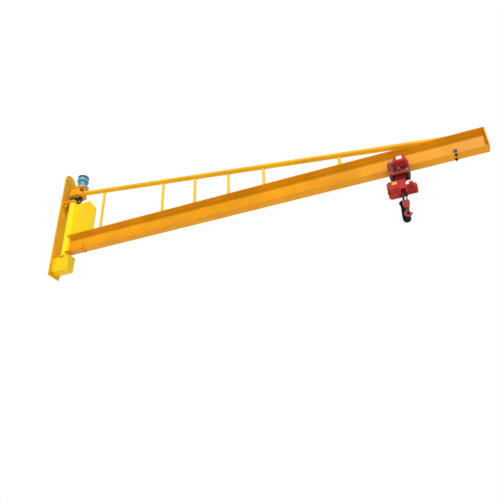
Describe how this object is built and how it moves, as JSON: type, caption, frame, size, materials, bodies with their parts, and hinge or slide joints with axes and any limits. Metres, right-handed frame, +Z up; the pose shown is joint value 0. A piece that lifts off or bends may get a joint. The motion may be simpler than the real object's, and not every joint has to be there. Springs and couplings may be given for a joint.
{
  "type": "wall jib crane",
  "caption": "Wall-mounted jib crane: a slewing I-beam held by a tie pipe and struts, with a geared slewing head, and an electric chain hoist hanging from a motor trolley.",
  "frame": {"origin": "on the wall plate's back face, in the crane's middle plane, level with the underside of the jib beam", "axes": "+X out from the wall along the jib at rest, +Y to the left seen from the jib's tip, +Z up"},
  "size_m": [6.452, 0.3652, 2.3046],
  "materials": {
    "yellow_paint": "semi-gloss",
    "red_paint": "semi-gloss",
    "blue_paint": "semi-gloss",
    "steel": "oiled",
    "rubber": "matte",
    "bag": "matte"
  },
  "bodies": {
    "wall_frame": {"wall_plate": "yellow_paint", "top_arm": "yellow_paint", "arm_ribs": "yellow_paint", "slew_gear": "steel", "bracket_cheeks": "yellow_paint", "bracket_bearing_plate": "yellow_paint", "bracket_floor_plate": "yellow_paint", "bracket_end_plate": "yellow_paint", "thrust_washer": "steel"},
    "jib": {"mast_tube": "yellow_paint", "mast_foot": "yellow_paint", "head_bottom_plate": "yellow_paint", "head_wall": "yellow_paint", "head_top_plate": "yellow_paint", "head_port": "steel", "slew_motor": "blue_paint", "slew_motor_cowl": "blue_paint", "slew_terminal_box": "blue_paint", "root_gusset": "yellow_paint", "jib_beam": "yellow_paint", "tie_pipe": "yellow_paint", "tie_strut_1": "yellow_paint", "tie_strut_2": "yellow_paint", "tie_strut_3": "yellow_paint", "tie_strut_4": "yellow_paint", "tie_strut_5": "yellow_paint", "tie_strut_6": "yellow_paint", "tip_plate": "yellow_paint", "outer_stops": "yellow_paint", "inner_stops": "yellow_paint"},
    "pinion": {"drive_pinion": "steel"},
    "trolley": {"trolley_plate_front": "red_paint", "trolley_plate_rear": "red_paint", "trolley_wheels": "steel", "trolley_spacers": "rubber", "suspension_shaft": "steel", "travel_gearbox": "red_paint", "travel_motor": "red_paint", "hoist_lug": "red_paint", "hoist_gear_case": "red_paint", "hoist_chain_housing": "red_paint", "hoist_motor": "red_paint", "hoist_motor_cover": "red_paint", "hoist_terminal_box": "red_paint", "load_chain": "steel", "chain_bag": "bag", "bag_hanger": "steel", "hook_block": "red_paint"},
    "hook": {"hook": "red_paint", "hook_latch": "steel"}
  },
  "joints": [
    {"name": "jib_slew", "type": "hinge", "parent": "wall_frame", "child": "jib", "pos_m": [0.165, 0, 0], "axis": [0, 0, 1], "range_deg": [-80, 80]},
    {"name": "pinion_spin", "type": "hinge", "parent": "jib", "child": "pinion", "pos_m": [0.28, 0, 1.03], "axis": [0, 0, 1], "range_deg": [-185, 185]},
    {"name": "trolley_travel", "type": "slide", "parent": "jib", "child": "trolley", "axis": [1, 0, 0], "range_m": [-4.65, 0.5]},
    {"name": "hook_swivel", "type": "hinge", "parent": "trolley", "child": "hook", "pos_m": [5.35, 0, -0.6], "axis": [0, 0, 1], "continuous": true}
  ],
  "couplings": [
    {"joint": "pinion_spin", "follows": "jib_slew", "ratio": 2.2857}
  ]
}
